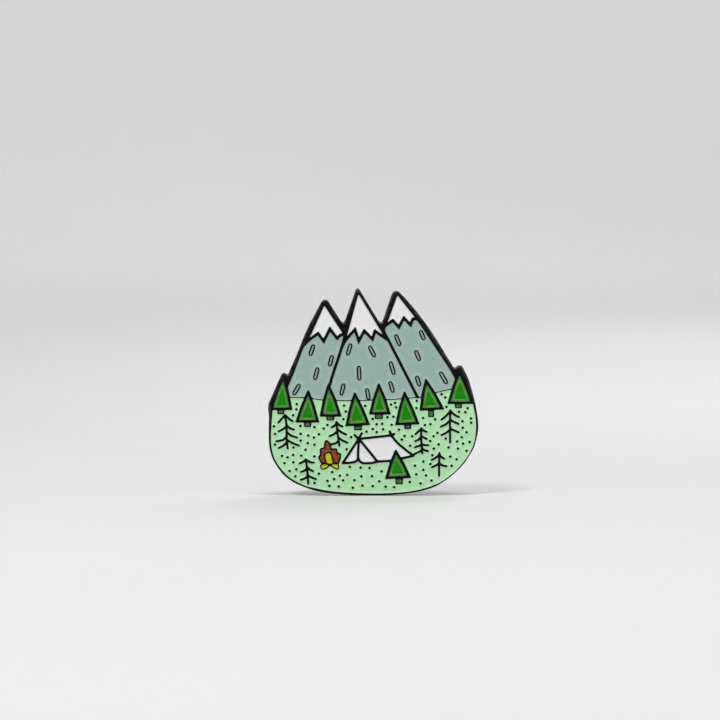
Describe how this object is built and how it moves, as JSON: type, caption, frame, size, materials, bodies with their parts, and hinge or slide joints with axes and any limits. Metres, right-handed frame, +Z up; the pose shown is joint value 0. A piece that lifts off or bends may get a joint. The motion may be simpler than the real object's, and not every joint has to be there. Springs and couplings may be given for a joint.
{
  "type": "enamel pin",
  "caption": "Soft enamel lapel pin: struck black plate with a mountain camp scene in coloured fills, soldered posts and butterfly clutches that slide off when their ears are squeezed.",
  "frame": {"origin": "middle of the plate's flat back face, halfway up its height and across its width", "axes": "+X to the viewer's right, +Z up as worn, +Y out of the back along the posts; the picture faces -Y"},
  "size_m": [0.0301, 0.0097, 0.0297],
  "materials": {
    "black_metal": "polished black electroplate on the struck lines, fine sandblasted texture on the back",
    "white_enamel": "glossy soft enamel, off-white",
    "sage_enamel": "glossy soft enamel, grey sage",
    "pale_enamel": "glossy soft enamel, pale grey green",
    "mint_enamel": "glossy soft enamel, mint green",
    "green_enamel": "glossy soft enamel, leaf green",
    "bark_enamel": "glossy soft enamel, dark grey green",
    "rust_enamel": "glossy soft enamel, rust brown",
    "yellow_enamel": "glossy soft enamel, yellow",
    "post_metal": "drawn wire, nickel plated, tinned where it is soldered",
    "clutch_metal": "bright nickel plated stamped sheet"
  },
  "bodies": {
    "plate": {"struck_base": "black_metal", "snow_left": "white_enamel", "snow_middle": "white_enamel", "snow_right": "white_enamel", "slope_left": "sage_enamel", "slope_middle": "sage_enamel", "slope_right": "sage_enamel", "slot_01": "pale_enamel", "slot_02": "pale_enamel", "slot_03": "pale_enamel", "slot_04": "pale_enamel", "slot_05": "pale_enamel", "slot_06": "pale_enamel", "slot_07": "pale_enamel", "slot_08": "pale_enamel", "slot_09": "pale_enamel", "slot_10": "pale_enamel", "slot_11": "pale_enamel", "slot_12": "pale_enamel", "slot_13": "pale_enamel", "slot_14": "pale_enamel", "slot_15": "pale_enamel", "slot_16": "pale_enamel", "fir_1": "green_enamel", "fir_2": "green_enamel", "fir_3": "green_enamel", "fir_4": "green_enamel", "fir_5": "green_enamel", "fir_6": "green_enamel", "fir_7": "green_enamel", "fir_8": "green_enamel", "fir_9": "green_enamel", "trunk_1": "bark_enamel", "trunk_2": "bark_enamel", "trunk_3": "bark_enamel", "trunk_4": "bark_enamel", "trunk_5": "bark_enamel", "trunk_6": "bark_enamel", "trunk_7": "bark_enamel", "trunk_8": "bark_enamel", "trunk_9": "bark_enamel", "meadow": "mint_enamel", "tent_door_left": "white_enamel", "tent_door_right": "white_enamel", "tent_side": "white_enamel", "flame": "rust_enamel", "flame_core": "yellow_enamel", "log_left": "yellow_enamel", "log_right": "yellow_enamel", "post_left": "post_metal", "post_right": "post_metal"},
    "clutch_left": {"clutch_cap_left": "clutch_metal", "clutch_dome_left": "clutch_metal"},
    "leaf_left_lower": {"spring_leaf_left_lower": "clutch_metal"},
    "leaf_left_upper": {"spring_leaf_left_upper": "clutch_metal"},
    "clutch_right": {"clutch_cap_right": "clutch_metal", "clutch_dome_right": "clutch_metal"},
    "leaf_right_lower": {"spring_leaf_right_lower": "clutch_metal"},
    "leaf_right_upper": {"spring_leaf_right_upper": "clutch_metal"}
  },
  "joints": [
    {"name": "clutch_left_slide", "type": "slide", "parent": "plate", "child": "clutch_left", "axis": [0, 1, 0], "range_m": [-0.00105, 0.0075]},
    {"name": "leaf_left_lower_slide", "type": "slide", "parent": "clutch_left", "child": "leaf_left_lower", "axis": [-1, 0, 0], "range_m": [0, 0.00045], "stiffness_N_per_m": 500, "springref_m": -0.0005},
    {"name": "leaf_left_upper_slide", "type": "slide", "parent": "clutch_left", "child": "leaf_left_upper", "axis": [1, 0, 0], "range_m": [0, 0.00045], "stiffness_N_per_m": 500, "springref_m": -0.0005},
    {"name": "clutch_right_slide", "type": "slide", "parent": "plate", "child": "clutch_right", "axis": [0, 1, 0], "range_m": [-0.00105, 0.0075]},
    {"name": "leaf_right_lower_slide", "type": "slide", "parent": "clutch_right", "child": "leaf_right_lower", "axis": [-1, 0, 0], "range_m": [0, 0.00045], "stiffness_N_per_m": 500, "springref_m": -0.0005},
    {"name": "leaf_right_upper_slide", "type": "slide", "parent": "clutch_right", "child": "leaf_right_upper", "axis": [1, 0, 0], "range_m": [0, 0.00045], "stiffness_N_per_m": 500, "springref_m": -0.0005}
  ],
  "couplings": [
    {"joint": "leaf_left_upper_slide", "follows": "leaf_left_lower_slide", "ratio": 1},
    {"joint": "leaf_right_upper_slide", "follows": "leaf_right_lower_slide", "ratio": 1}
  ]
}
